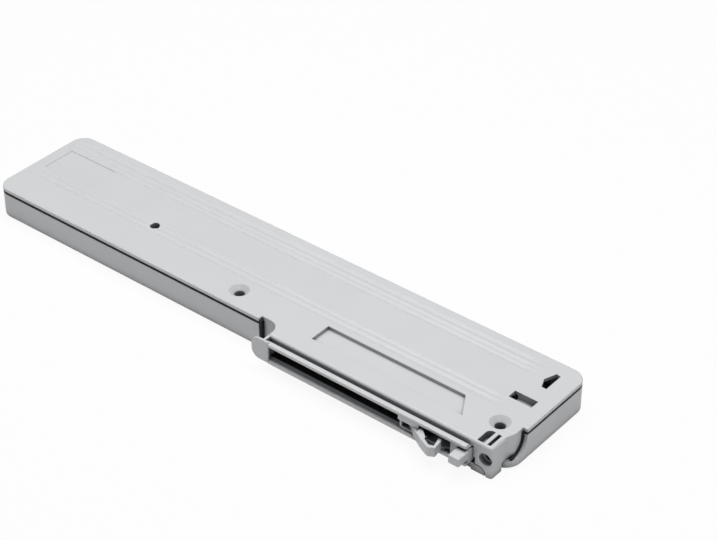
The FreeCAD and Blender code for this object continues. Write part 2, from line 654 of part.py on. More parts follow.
def make_gasket():
    """Black gasket in the joint between the shells, with a leg in the notch and a lip in the scoop."""
    body = new_body("seam_gasket")
    outer = size("gasket_inset")
    inner = outer + size("gasket_width")
    stop_x = notch_x - size("clearance")
    stop_y = near_y + size("shoulder_reach") + size("clearance")
    leg_x = notch_x + size("notch_slit")
    r_out, r_in = corner - outer, corner - inner
    add_plan(body, [
        (stop_x, near_y + inner), (start_x + inner, near_y + inner, r_in),
        (start_x + inner, far_y - inner, r_in), (end_x - inner, far_y - inner, r_in),
        (end_x - inner, stop_y), (end_x - outer, stop_y),
        (end_x - outer, far_y - outer, r_out), (start_x + outer, far_y - outer, r_out),
        (start_x + outer, near_y + outer, r_out), (stop_x, near_y + outer)], tray_top, lid_bottom)
    add_plan(body, rectangle(notch_x, leg_x, near_y + outer, near_y + inner), size("bay_sill"), tray_top)
    add_plan(body, rectangle(stop_x - OVERSHOOT, leg_x, near_y + outer, near_y + inner), tray_top, lid_bottom)
    add_scoop_lip(body, stop_y)
    return body


def add_scoop_lip(body, stop_y):
    """The gasket's lip, which follows the scoop of the tray's end wall in front of the lid's skirt."""
    show, leaf, gap = size("gasket_show"), size("gasket_leaf"), size("running_gap")
    sill, radius = size("bay_sill"), size("scoop_radius")
    rim_y = near_y + size("scoop_reach")
    low_y = rim_y - radius - MERGE
    lip = end_sketch(body, shoulder_x)
    draw_outline(lip, [
        (low_y, sill + gap), (rim_y - gap, sill + gap, radius - gap), (rim_y - gap, lid_bottom),
        (rim_y - show, lid_bottom), (rim_y - show, sill + show, radius - show), (low_y, sill + show)])
    extrude(body, "Pad", lip, leaf)
    add_plan(body, rectangle(shoulder_x, shoulder_x + leaf, rim_y - show, stop_y + OVERSHOOT),
             tray_top, lid_bottom)


def make_lid():
    """Upper shell with the end block, the bay's side, its round cheek and the moulded openings."""
    body = new_body("lid")
    shoulder = near_y + size("shoulder_start")
    add_plan(body, [
        (start_x, near_y, corner), (notch_x, near_y), (notch_x, notch_y),
        (bay_x, notch_y, size("notch_radius")), (bay_x, bay_y), (block_right, bay_y, size("block_radius")),
        (block_right, shoulder), (shoulder_x, shoulder + size("shoulder_rise")),
        (shoulder_x, near_y + size("shoulder_reach")), (end_x, near_y + size("shoulder_reach")),
        (end_x, far_y, corner), (start_x, far_y, corner),
    ], lid_bottom, height)
    dress_edges(body, "Fillet", along_the_bay, size("bay_edge_radius"))
    dress_edges(body, "Fillet", off_the_bay, size("upper_edge_radius"))
    add_rim(body)
    add_end_block(body)
    add_cheek(body)
    add_plan(body, recess_shell, height - size("recess_depth") - size("recess_floor"), lid_bottom + MERGE)
    cut_plan(body, recess_outline, height - size("recess_depth"), height + OVERSHOOT)
    add_screw_column(body, column_joint, lid_bottom + MERGE)
    cut_lid_openings(body)
    drill_screw_holes(body, column_joint - OVERSHOOT, height + OVERSHOOT, height)
    return body


def add_rim(body):
    """Rim under the lid that fits inside the tray's walls on the three plain sides."""
    outer = size("rim_inset")
    inner = outer + size("rim_thickness")
    right_stop = near_y + size("shoulder_reach") + wall
    near_stop = start_x + size("rim_near_length")
    r_out, r_in = corner - outer, corner - inner
    add_plan(body, [
        (near_stop, near_y + outer), (near_stop, near_y + inner), (start_x + inner, near_y + inner, r_in),
        (start_x + inner, far_y - inner, r_in), (end_x - inner, far_y - inner, r_in),
        (end_x - inner, right_stop), (end_x - outer, right_stop), (end_x - outer, far_y - outer, r_out),
        (start_x + outer, far_y - outer, r_out), (start_x + outer, near_y + outer, r_out),
    ], lid_bottom - size("rim_drop"), lid_bottom + MERGE)


def add_end_block(body):
    """Side of the bay, the solid block at its end and the skirt behind the shoulder."""
    block_back = bay_y + size("block_depth")
    top_back = bay_y + size("block_top_depth")
    undercut_left = block_left + size("block_undercut")
    skirt = size("skirt_thickness")
    add_plan(body, rectangle(bay_x, block_left + MERGE, bay_y, bay_y + size("bay_side")), rail_top,
             lid_bottom + MERGE)
    add_plan(body, [(block_left, bay_y), (block_right, bay_y, size("block_radius")), (block_right, top_back),
                    (block_left, top_back)], size("block_undercut_top"), lid_bottom + MERGE)
    add_plan(body, [(undercut_left, bay_y), (block_right, bay_y, size("block_radius")),
                    (block_right, block_back), (undercut_left, block_back)],
             0, size("block_undercut_top") + MERGE)
    start = near_y + size("shoulder_start")
    skirt_end = near_y + size("shoulder_reach") - size("running_gap")
    add_plan(body, [
        (block_right - skirt, block_back - MERGE), (block_right, block_back - MERGE), (block_right, start),
        (shoulder_x, start + size("shoulder_rise")), (shoulder_x, skirt_end), (shoulder_x - skirt, skirt_end),
        (shoulder_x - skirt, start + size("shoulder_rise") + MERGE), (block_right - skirt, start + MERGE),
    ], size("skirt_bottom"), lid_bottom + MERGE)
    gap = size("tongue_gap")
    relief = side_sketch(body, bay_y)
    draw_outline(relief, [
        (block_left - OVERSHOOT, -OVERSHOOT), (tongue_end + gap, -OVERSHOOT),
        (tongue_end + gap, size("tongue_height") + gap, size("tongue_radius") + gap),
        (block_left - OVERSHOOT, size("tongue_height") + gap)])
    extrude(body, "Pocket", relief, size("bay_inset") + size("tongue_thickness") + gap)
    for radius, depth in ((size("side_hole") / 2, size("side_hole_depth")),
                          (size("side_counterbore") / 2, size("side_counterbore_depth"))):
        hole = side_sketch(body, bay_y)
        draw_circle(hole, end_x - size("side_hole_x"), size("side_hole_z"), radius)
        extrude(body, "Pocket", hole, depth)


def add_cheek(body):
    """Round cheek over the rail's closed end, and the wall that runs from it round the notch."""
    left = bay_x + size("cheek_overlap") - size("cheek_width")
    right = bay_x + size("cheek_overlap")
    bottom, top, radius = size("cheek_bottom"), size("cheek_top"), size("cheek_radius")
    skin = size("end_wall")
    add_plan(body, [
        (notch_x + size("notch_slit"), notch_y), (bay_x, notch_y, size("notch_radius")), (bay_x, bay_y),
        (bay_x + skin, bay_y), (bay_x + skin, notch_y + skin, size("notch_radius") + skin),
        (notch_x + size("notch_slit"), notch_y + skin)], bottom, lid_bottom + MERGE)
    cheek = side_sketch(body, rail_front)
    draw_outline(cheek, [(left, bottom, radius), (right, bottom), (right, top, size("cheek_corner")),
                         (left, top, radius)])
    extrude(body, "Pad", cheek, size("cheek_thickness"), reverse=True)
    dress_edges(body, "Fillet", in_plane_y(rail_front), size("cheek_edge"))
    add_plan(body, rectangle(bay_x, bay_x + skin, rail_front + size("cheek_thickness") / 2, bay_y + MERGE),
             bottom, top)


def ripple_sketch(body, x, valley, strength):
    """Cross section of one ripple, with this part of its full depth."""
    sketch = end_sketch(body, x)
    near, bottom, far = [near_y + y for y in valley]
    draw_outline(sketch, [(near, height), (bottom, height - size("ripple_depth") * strength), (far, height)])
    return sketch


def cut_ripple(body, valley):
    """One ripple along the lid, which fades out at both ends."""
    left, right = start_x + size("ripple_margin"), end_x - size("ripple_end")
    ramp = size("ripple_ramp")
    run = ripple_sketch(body, left + ramp, valley, 1)
    extrude(body, "Pocket", run, right - left - ramp * 2, reverse=True)
    for x0, strength0, x1, strength1 in ((left, RIPPLE_FADED, left + ramp, 1),
                                         (right - ramp, 1, right, RIPPLE_FADED)):
        start = ripple_sketch(body, x0, valley, strength0)
        end = ripple_sketch(body, x1, valley, strength1)
        loft = body.newObject("PartDesign::SubtractiveLoft", "loft")
        loft.Profile = start
        loft.Sections = [end]
        loft.Ruled = True
        doc.recompute()


def cut_lid_openings(body):
    """Ripples, bare label panel and the moulded openings beside the end block."""
    top = height + OVERSHOOT
    for valley in RIPPLES:
        cut_ripple(body, valley)
    cut_plan(body, shifted(LABEL_PANEL, start_x, near_y), height - size("label_depth"), top)
    deep = height - size("slot_depth")
    eye_slot = shifted(EYE_SLOT, end_x, near_y, mirror=True)
    eye_slot[-1] = eye_slot[-1] + (EYE_SLOT_RADIUS,)
    cut_plan(body, eye_slot, deep, top)
    cut_plan(body, shifted(THIN_SLOT, end_x, near_y, mirror=True), deep, top)
    slot = shifted(SQUARE_SLOT, end_x, near_y, mirror=True)
    rim = SQUARE_SLOT_RIM
    add_plan(body, rectangle(end_x - SQUARE_SLOT_SHELF, slot[1][0] + rim, slot[0][1] - rim, slot[2][1] + rim),
             deep - rim, lid_bottom + MERGE)
    cut_plan(body, slot, deep, top)
    cut_plan(body, shifted(FIVE_SIDED_SLOT, end_x, near_y, mirror=True), deep - OVERSHOOT, top)


def make_guide_rail():
    """Channel that guides the carriage: open at its mouth, with a slot for the neck in its web."""
    body = new_body("guide_rail")
    back, rail_wall, edge = near_y - size("rail_back"), size("rail_wall"), size("rail_edge")
    floor_z = rail_bottom + size("rail_floor")
    lip_top = rail_top + size("lip_rise")
    mouth_top = lip_top - size("lip_height")
    inner_lip = rail_front + rail_wall
    lip_back = rail_front + size("lip_depth")
    strip_back = strip_corners(size("strip_thickness"))
    section = end_sketch(body, rail_left)
    draw_outline(section, [
        (rail_front, rail_bottom, edge), (back, rail_bottom), (back, rail_top), (lip_back, rail_top),
        (lip_back, lip_top), (rail_front, lip_top, edge), (rail_front, mouth_top), (inner_lip, mouth_top),
        (inner_lip, channel_top)] + strip_back + [
        (inner_lip, floor_z), (inner_lip, floor_z + size("rail_lip_rise")),
        (rail_front, floor_z + size("rail_lip_rise"), edge)])
    extrude(body, "Pad", section, rail_right - rail_left)
    cut_plan(body, rectangle(rail_left - OVERSHOOT, bay_x + size("cheek_overlap") + size("running_gap"),
                             rail_front - OVERSHOOT, inner_lip + size("running_gap")), 0, lip_top + OVERSHOOT)
    cut_neck_slot(body)
    return body


def strip_corners(depth):
    """Back edge of the running strip, from the channel's roof to its front edge, this deep in the rail."""
    web = near_y - size("rail_back") - size("rail_wall")
    floor_z = rail_bottom + size("rail_floor")
    front = rail_front + size("strip_start")
    return [(web + depth, channel_top), (web + depth, floor_z - depth), (front, floor_z - depth),
            (front, floor_z)]


def cut_neck_slot(body):
    """Slot in the rail's back web that the carriage's neck runs along."""
    slot = side_sketch(body, near_y - size("rail_back"))
    low = size("neck_bottom") - size("slot_play")
    left = neck_left - size("travel") - size("slot_run_out")
    right = neck_left + size("neck_width") + size("slot_run_out")
    draw_outline(slot, rectangle(left, right, low, low + size("neck_height") + size("slot_play") * 2))
    extrude(body, "Pocket", slot, size("rail_wall") + OVERSHOOT, reverse=True)


def make_slide_strip():
    """Black running strip let into the channel's floor and back web."""
    body = new_body("slide_strip")
    web = near_y - size("rail_back") - size("rail_wall")
    section = end_sketch(body, rail_left)
    draw_outline(section, strip_corners(size("strip_thickness")) + [
        (web, rail_bottom + size("rail_floor")), (web, channel_top)])
    extrude(body, "Pad", section, rail_right - rail_left)
    cut_neck_slot(body)
    return body


def make_carriage():
    """Carriage: floor plate, head that holds the claw, stop block with its fixed finger, and neck."""
    body = new_body("carriage")
    front_in = rail_front + size("rail_wall") + size("carriage_side_gap")
    skin = size("carriage_face")
    head_right = carriage_left + size("head_length")
    front = near_y - size("carriage_front")
    face_top = rail_top + size("lip_rise") - size("lip_height") - size("carriage_gap")
    low, high = floor_top - MERGE, roof_bottom + MERGE
    add_plan(body, rectangle(carriage_left, carriage_right, front_in, carriage_back),
             carriage_bottom, floor_top)
    add_plan(body, rectangle(carriage_left, head_right, front, carriage_back), roof_bottom, carriage_top)
    add_plan(body, rectangle(carriage_left, head_right, front, front + skin), roof_bottom, face_top)
    add_plan(body, rectangle(carriage_left, head_right, carriage_back - skin, carriage_back), low, high)
    add_plan(body, rectangle(carriage_left, carriage_left + skin, front_in, carriage_back), low, high)
    add_plan(body, rectangle(carriage_left + size("back_wall_start"), carriage_right - skin,
                             near_y - size("back_wall_reach"), carriage_back), low, carriage_top)
    add_plan(body, rectangle(carriage_right - size("stop_block"), carriage_right, front_in, carriage_back),
             low, carriage_top)
    add_plan(body, rectangle(carriage_right - size("finger_width"), carriage_right,
                             near_y - size("finger_reach"), front_in + MERGE),
             size("finger_bottom"), size("finger_bottom") + size("finger_height"))
    dress_edges(body, "Fillet", in_front_of(rail_front), size("finger_edge"))
    add_plan(body, rectangle(neck_left, neck_left + size("neck_width"), carriage_back - MERGE,
                             near_y + size("neck_reach")),
             size("neck_bottom"), size("neck_bottom") + size("neck_height"))
    cut_round(body, [(claw_x, claw_y)], size("claw_pin_radius"), carriage_bottom - OVERSHOOT,
              carriage_top + OVERSHOOT)
    cut_round(body, [(coupling_x, coupling_y)], size("coupling_pin_radius"), 0, height)
    cut_round(body, [(carriage_right - size("latch_notch_x"), front_in)], size("latch_notch_radius"),
              carriage_bottom - OVERSHOOT, floor_top + OVERSHOOT)
    return body


def make_claw():
    """Sprung claw: hub, sloping arm, raised catch and the floor of its pocket."""
    body = new_body("claw")
    bottom = floor_top + size("clearance")
    arm_top = bottom + size("claw_arm_height")
    add_plan(body, shifted(CLAW_OUTLINE, claw_x, claw_y), bottom, arm_top)
    add_round(body, [(claw_x, claw_y)], size("claw_hub_radius"), bottom, arm_top)
    add_plan(body, shifted(CATCH_OUTLINE, claw_x, claw_y), arm_top - MERGE, bottom + size("claw_height"))
    add_plan(body, shifted(POCKET_OUTLINE, claw_x, claw_y), bottom, bottom + size("claw_floor"))
    cut_round(body, [(claw_x, claw_y)], size("claw_pin_radius") + size("running_gap"), 0, height)
    return body


def make_claw_spring():
    """Flat leaf spring, seated on the carriage's back wall, that pushes the claw out."""
    body = new_body("claw_spring")
    thick = size("leaf_thickness")
    back = carriage_back - size("carriage_face")
    (x0, _), (x1, _), (x2, y2) = shifted(LEAF_PATH, claw_x, claw_y)
    middle = (floor_top + roof_bottom) / 2
    add_plan(body, [(x0, back), (x1, back), (x2 + thick, y2), (x2, y2 - thick / 2),
                    (x1 - thick, back - thick), (x0, back - thick)],
             middle - size("leaf_width") / 2, middle + size("leaf_width") / 2)
    return body


def make_draw_bar():
    """T-shaped bar inside the housing that ties the carriage to the damper and the springs."""
    body = new_body("draw_bar")
    head = size("bar_head_width") / 2
    stem = size("bar_stem_width") / 2
    neck = bar_left + size("bar_head_length")
    arm = bar_right - size("bar_arm_width")
    arm_end = near_y + size("bar_web_gap")
    add_plan(body, [
        (bar_left, damper_y - head), (neck, damper_y - head), (neck, damper_y - stem), (arm, damper_y - stem),
        (arm, arm_end), (bar_right, arm_end), (bar_right, damper_y + stem), (neck, damper_y + stem),
        (neck, damper_y + head), (bar_left, damper_y + head)], size("bar_bottom"), bar_top)
    for y in spring_ys.values():
        add_round(body, [(moving_post_x, y)], size("post_radius") + size("post_shoulder"), bar_top - MERGE,
                  eye_seat)
        add_round(body, [(moving_post_x, y)], size("post_radius"), bar_top - MERGE, size("post_height"))
    cut_round(body, [(clip_x, damper_y)], size("clip_peg_radius"), 0, bar_top + OVERSHOOT)
    cut_round(body, [(coupling_x, coupling_y)], size("coupling_pin_radius"), 0, height)
    return body


def make_rod_clip():
    """Clip that holds the rod's end on the draw bar, with a peg through the bar."""
    body = new_body("rod_clip")
    left = clip_x - size("clip_length") / 2
    half = size("clip_width") / 2
    add_plan(body, rectangle(left, left + size("clip_length"), damper_y - half, damper_y + half),
             bar_top, bar_top + size("clip_height"))
    add_round(body, [(clip_x, damper_y)], size("clip_peg_radius"), size("bar_bottom"), bar_top + MERGE)
    bore = end_sketch(body, left)
    draw_circle(bore, damper_y, damper_z, size("rod_radius"))
    extrude(body, "Pocket", bore, size("clip_length") - size("clip_blind"), reverse=True)
    return body


def make_upright_pin(label, x, y, steps):
    """Turned pin that stands upright: each step is a radius and the heights it runs between."""
    body = new_body(label)
    sketch = new_sketch(body, "XZ_Plane", -as_size(y))
    outline = [(x, steps[0][1])]
    for radius, bottom, top in steps:
        outline += [(x + radius, bottom), (x + radius, top)]
    outline.append((x, steps[-1][2]))
    draw_outline(sketch, outline)
    turn(body, sketch, "V_Axis", x)
    return body


def turn(body, sketch, axis, offset):
    """Full revolution about a construction line of the sketch, drawn at this offset."""
    low = FreeCAD.Vector(float(offset), -5, 0) if axis == "V_Axis" else FreeCAD.Vector(-5, float(offset), 0)
    high = FreeCAD.Vector(float(offset), 25, 0) if axis == "V_Axis" else FreeCAD.Vector(25, float(offset), 0)
    line = sketch.addGeometry(Part.LineSegment(low, high), True)
    for point, place in ((1, low), (2, high)):
        if axis == "V_Axis":
            pin_point(sketch, line, point, offset, place.y)
        else:
            pin_point(sketch, line, point, place.x, offset)
    feature = body.newObject("PartDesign::Revolution", "revolution")
    feature.Profile = sketch
    feature.ReferenceAxis = (sketch, ["Axis0"])
    feature.Angle = 360
    doc.recompute()
    return feature


def make_turned(label, steps, bore=0):
    """Turned part on the damper's axis: each step is a radius and the stretch of X it covers."""
    body = new_body(label)
    sketch = side_sketch(body, damper_y)
    outline = [(steps[0][1], damper_z + bore)]
    for radius, left, right in steps:
        outline += [(left, damper_z + radius), (right, damper_z + radius)]
    outline.append((steps[-1][2], damper_z + bore))
    draw_outline(sketch, outline)
    turn(body, sketch, "H_Axis", damper_z)
    return body


def make_damper():
    """Tube, end plug, gland, seals, piston and rod of the damper."""
    flange, bore = size("plug_flange"), size("tube_bore")
    rod, tube = size("rod_radius"), size("tube_radius")
    make_turned("damper_tube", [(tube, tube_left, tube_right)], bore)
    make_turned("damper_end_plug", [(tube, tube_left - flange, tube_left),
                                    (bore, tube_left, tube_left + size("plug_spigot"))])
    passage = rod + size("running_gap")
    spigot = tube_right - size("gland_spigot")
    make_turned("damper_gland", [(bore, spigot, tube_right), (tube, tube_right, gland_front)], passage)
    seal_left = spigot - size("seal_length")
    make_turned("rod_seal", [(bore, seal_left, spigot)], passage)
    piston_right = seal_left - size("piston_lead")
    piston_left = piston_right - size("piston_length")
    radius, groove = bore - size("running_gap"), size("piston_groove_radius")
    ring_left = piston_left + (size("piston_length") - size("piston_seal_length")) / 2
    ring_right = ring_left + size("piston_seal_length")
    make_turned("piston", [(radius, piston_left, ring_left), (groove, ring_left, ring_right),
                           (radius, ring_right, piston_right)], rod)
    make_turned("piston_seal", [(radius, ring_left, ring_right)], groove)
    rod_right = clip_x + size("clip_length") / 2 - size("clip_blind")
    make_turned("piston_rod", [(rod, piston_left, rod_right)])


def make_spring_eye(label, post_x, y, coil_side):
    """Eye that slips over a post, with a shank and a plug that screws into the spring's end."""
    body = new_body(label)
    inner = size("post_radius") + size("clearance")
    outer = inner + size("eye_width")
    half = size("eye_thickness") / 2
    add_round(body, [(post_x, y)], outer, damper_z - half, damper_z + half)
    shank_end = (outer + size("eye_neck")) * coil_side
    plug_end = shank_end + size("eye_plug") * coil_side
    for radius, x0, x1 in ((size("eye_shank"), (outer - MERGE) * coil_side, shank_end + MERGE * coil_side),
                           (size("coil_radius") - size("wire_radius") - size("coil_slack"),
                            shank_end, plug_end)):
        left = x0 if coil_side > 0 else x1
        sketch = end_sketch(body, post_x + left)
        draw_circle(sketch, y, damper_z, radius)
        extrude(body, "Pad", sketch, (x1 - x0) * coil_side)
    cut_round(body, [(post_x, y)], inner, 0, height)
    return body


def make_coil(label, y):
    """Coiled wire with six flat sides, eight steps a turn, stretched between its two eyes."""
    coil = doc.addObject("Part::Feature", label)
    coil.Label = label
    inset = float(size("post_radius") + size("clearance") + size("eye_width") + size("coil_start"))
    left = float(fixed_post_x) + inset
    right = float(moving_post_x) - inset
    turns = int(round(float(size("coil_turns"))))
    radius, wire = float(size("coil_radius")), float(size("wire_radius"))
    steps, sides = 8, 6
    pitch = (right - left - 2 * wire) / turns
    rings = []
    for step in range(turns * steps + 1):
        angle = 2 * math.pi * step / steps
        outward = FreeCAD.Vector(0, math.cos(angle), math.sin(angle))
        middle = outward * radius + FreeCAD.Vector(left + wire + pitch * step / steps, 0, 0)
        rings.append([middle + outward * (wire * math.cos(2 * math.pi * side / sides))
                      + FreeCAD.Vector(wire * math.sin(2 * math.pi * side / sides), 0, 0)
                      for side in range(sides)])
    faces = [facet(rings[0][::-1]), facet(rings[-1])]
    for first, second in zip(rings, rings[1:]):
        for side in range(sides):
            other = (side + 1) % sides
            faces.append(facet([first[side], first[other], second[other]]))
            faces.append(facet([first[side], second[other], second[side]]))
    solid = Part.Solid(Part.Shell(faces))
    if solid.Volume < 0:
        solid.reverse()
    coil.Shape = solid
    coil.Placement = FreeCAD.Placement(FreeCAD.Vector(0, float(y), float(damper_z)), FreeCAD.Rotation())


def facet(points):
    return Part.Face(Part.makePolygon(points + [points[0]]))


coupling_x = neck_left + size("neck_width") / 2
coupling_y = near_y + size("coupling_pin_y")


def make_all():
    make_tray()
    make_gasket()
    make_lid()
    make_guide_rail()
    make_slide_strip()
    make_carriage()
    make_claw()
    make_upright_pin("claw_pin", claw_x, claw_y, [(size("claw_pin_radius"), carriage_bottom, carriage_top)])
    make_claw_spring()
    make_draw_bar()
    neck_top = size("neck_bottom") + size("neck_height")
    make_upright_pin("coupling_pin", coupling_x, coupling_y, [
        (size("coupling_pin_radius"), size("bar_bottom"), neck_top),
        (size("coupling_head_radius"), neck_top, neck_top + size("coupling_head"))])
    make_rod_clip()
    make_damper()
    for side, y in spring_ys.items():
        make_coil(f"{side}_spring", y)
        make_spring_eye(f"{side}_spring_fixed_eye", fixed_post_x, y, 1)
        make_spring_eye(f"{side}_spring_moving_eye", moving_post_x, y, -1)


def check_and_export():
    failed = [item.Name for item in doc.Objects if "Invalid" in item.State or "Error" in item.State]
    parts = [item for item in doc.Objects
             if item.TypeId == "PartDesign::Body" or (item.TypeId == "Part::Feature" and item.Label)]
    for item in parts:
        shape = item.Shape
        if shape.isNull() or not shape.isValid() or not shape.Solids:
            failed.append(item.Label)
    if failed:
        raise RuntimeError(f"failed objects: {failed}")
    os.makedirs("parts", exist_ok=True)
    for item in parts:
        item.Shape.exportStep(os.path.join("parts", f"{item.Label}.step"))
        box = item.Shape.BoundBox
        print(f"{item.Label:26s} solids {len(item.Shape.Solids)}  volume {item.Shape.Volume:10.2f}  "
              f"x {box.XMin:8.2f} {box.XMax:8.2f}  y {box.YMin:7.2f} {box.YMax:7.2f}  "
              f"z {box.ZMin:6.2f} {box.ZMax:6.2f}")


make_all()
doc.recompute()
check_and_export()
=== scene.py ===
import math

import bpy
from mathutils import Matrix, Vector


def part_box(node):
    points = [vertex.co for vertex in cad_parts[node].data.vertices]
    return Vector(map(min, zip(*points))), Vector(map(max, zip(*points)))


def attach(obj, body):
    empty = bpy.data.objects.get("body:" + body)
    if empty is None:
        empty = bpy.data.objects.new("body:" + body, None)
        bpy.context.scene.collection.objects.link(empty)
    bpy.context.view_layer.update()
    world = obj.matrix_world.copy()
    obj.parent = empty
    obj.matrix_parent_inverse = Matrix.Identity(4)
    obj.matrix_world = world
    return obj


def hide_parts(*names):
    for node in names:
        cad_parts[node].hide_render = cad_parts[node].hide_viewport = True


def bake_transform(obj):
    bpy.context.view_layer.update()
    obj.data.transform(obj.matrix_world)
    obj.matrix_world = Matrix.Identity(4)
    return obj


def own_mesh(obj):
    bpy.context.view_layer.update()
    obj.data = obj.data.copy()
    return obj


# Soft-close damper unit for a sliding cabinet door, dressed for its studio picture.
# Lengths are metres, but the camera's sensor and lens are millimetres, as Blender takes them.
MM = 0.001
WHITE = (1.0, 1.0, 1.0, 1.0)

# Camera
CAMERA_PLACE = (498.1 * MM, -551.15 * MM, 555.9 * MM)
CAMERA_RIGHT = Vector((0.7748, 0.6322, 0.0))
CAMERA_FORWARD = Vector((-0.5120, 0.6274, -0.5868))
CAMERA_NEAR = 0.01
CAMERA_FAR = 20.0
SENSOR_WIDTH = 36.0
LENS = 103.19

# Table: its top lies a hair below the part, so that their faces do not coincide. The glow is the
# share of plain white in what the camera sees of it, and the rest shows the part's soft shadow.
TABLE_SIZE = 6.0
TABLE_TOP = -0.1 * MM
TABLE_COLOUR = (0.8, 0.8, 0.8, 1.0)
TABLE_ROUGHNESS = 0.8
TABLE_GLOW = 0.92

# Light: the air's strength on the part, and each lamp's name, place, size and power in watts
AIR_LIGHT = 0.11
LAMP_TARGET = Vector((0.0, 0.0, 0.0))
LAMPS = (
    ("overhead_softbox", (0.0, 0.08, 1.4), (1.5, 1.0), 23.4),
    ("front_fill", (0.5, -1.3, 0.7), (0.9, 0.6), 0.3),
)

# Colours of the finishes
SHELL_GREY = (0.63, 0.64, 0.655)
MECHANISM_GREY = (0.62, 0.63, 0.645)
# Black of the small inner parts; on the slide strip it is painted shade in the rail's channel.
INNER_BLACK = (0.02, 0.02, 0.022)
RUBBER_BLACK = (0.008, 0.008, 0.009)
RUBBER_DUST = (0.02, 0.02, 0.021)
PIN_STEEL = (0.62, 0.62, 0.63)
ROD_STEEL = (0.66, 0.66, 0.67)
WIRE_STEEL = (0.34, 0.34, 0.36)
TUBE_ALUMINIUM = (0.7, 0.71, 0.72)

# Moulded plastic: the painted shade in corners and recesses, which darkens the colour by ambient occlusion:
# how far it feels the walls, the occlusion values that count as shut and as open, the brightness painted
# into a shut corner, the moulded edges' radius and the height of the grain
PAINTED_SHADE_REACH = 6.0 * MM
PAINTED_SHADE_SHUT = 0.12
PAINTED_SHADE_OPEN = 0.82
PAINTED_SHADE_LOWEST = 0.1
MOULDED_EDGE = 0.25 * MM
GRAIN_HEIGHT = 0.02 * MM
PLASTIC_IOR = 1.5

# Metal and rubber: the height of the draw lines and of the pebble
DRAW_LINE_HEIGHT = 0.01 * MM
PEBBLE_HEIGHT = 0.02 * MM

# Return springs: turns, radius of the wire and of the coil, corners round the wire and round a turn
SPRING_TURNS = 44
SPRING_WIRE = 0.4 * MM
SPRING_RADIUS = 2.2 * MM
WIRE_CORNERS = 12
TURN_CORNERS = 24
WIRE_SMOOTHING = math.radians(50)

# Leaf spring of the claw: its foot lies along the carriage and its arm reaches to the claw
LEAF_THICKNESS = 0.32 * MM
LEAF_FOOT = 2.0 * MM
LEAF_INSET = 0.18 * MM
LEAF_TIP_LIFT = 0.1 * MM
LEAF_ROUNDING = 0.06 * MM
LEAF_STEPS = 8
LEAF_SMOOTHING = math.radians(40)

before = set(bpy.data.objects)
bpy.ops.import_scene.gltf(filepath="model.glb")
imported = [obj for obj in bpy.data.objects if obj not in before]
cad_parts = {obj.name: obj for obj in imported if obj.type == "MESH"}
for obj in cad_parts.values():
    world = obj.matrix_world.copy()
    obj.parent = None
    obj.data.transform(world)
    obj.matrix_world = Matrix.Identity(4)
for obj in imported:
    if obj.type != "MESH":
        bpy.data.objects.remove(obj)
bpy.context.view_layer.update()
bpy.ops.object.select_all(action="DESELECT")


def add_camera():
    """Long lens above the mechanism end, looking down along the housing."""
    bpy.ops.object.camera_add(location=CAMERA_PLACE)
    camera = bpy.context.object
    camera.name = "studio_camera"
    right = CAMERA_RIGHT.normalized()
    forward = CAMERA_FORWARD.normalized()
    up = right.cross(forward).normalized()
    axes = Matrix((right, up, -forward)).transposed()
    camera.rotation_euler = axes.to_euler()
    camera.data.sensor_width = SENSOR_WIDTH
    camera.data.lens = LENS
    camera.data.clip_start = CAMERA_NEAR
    camera.data.clip_end = CAMERA_FAR
    bpy.context.scene.camera = camera


def new_material(name):
    """Material with its node tree and its main shader."""
    material = bpy.data.materials.new(name)
    material.use_nodes = True
    return material, material.node_tree, material.node_tree.nodes["Principled BSDF"]


def add_node(tree, kind, **settings):
    """New node; each setting goes to the input of that name, or else to the node itself."""
    node = tree.nodes.new(kind)
    for key, value in settings.items():
        if key in node.inputs:
            node.inputs[key].default_value = value
        else:
            setattr(node, key, value)
    return node


def object_place(tree):
    """Each point's place on the part, for the patterns to follow."""
    return add_node(tree, "ShaderNodeTexCoord").outputs["Object"]


def add_noise(tree, place, scale, detail, roughness):
    """Cloudy pattern with about as many cells in a metre as scale says."""
    noise = add_node(tree, "ShaderNodeTexNoise", Scale=scale, Detail=detail, Roughness=roughness)
    tree.links.new(place, noise.inputs["Vector"])
    return noise.outputs["Fac"]


def spread(tree, value, low, high, start=0.0, end=1.0):
    """Turns a value that runs from start to end into one that runs from low to high."""
    span = add_node(tree, "ShaderNodeMapRange")
    span.inputs["From Min"].default_value = start
    span.inputs["From Max"].default_value = end
    span.inputs["To Min"].default_value = low
    span.inputs["To Max"].default_value = high
    tree.links.new(value, span.inputs["Value"])
    return span.outputs["Result"]


def add_tint(tree, pattern, low_colour, high_colour, start=0.0, end=1.0):
    """Blends two colours by a pattern, from the low one at start to the high one at end."""
    tint = add_node(tree, "ShaderNodeValToRGB")
    low, high = tint.color_ramp.elements
    low.position = start
    high.position = end
    low.color = (*low_colour, 1.0)
    high.color = (*high_colour, 1.0)
    tree.links.new(pattern, tint.inputs["Fac"])
    return tint.outputs["Color"]


def add_relief(tree, shader, pattern, strength, height, under=None):
    """Raises the surface by a pattern, on top of the normal under it where one is given."""
    relief = add_node(tree, "ShaderNodeBump", Strength=strength, Distance=height)
    tree.links.new(pattern, relief.inputs["Height"])
    if under is not None:
        tree.links.new(under, relief.inputs["Normal"])
    tree.links.new(relief.outputs["Normal"], shader.inputs["Normal"])


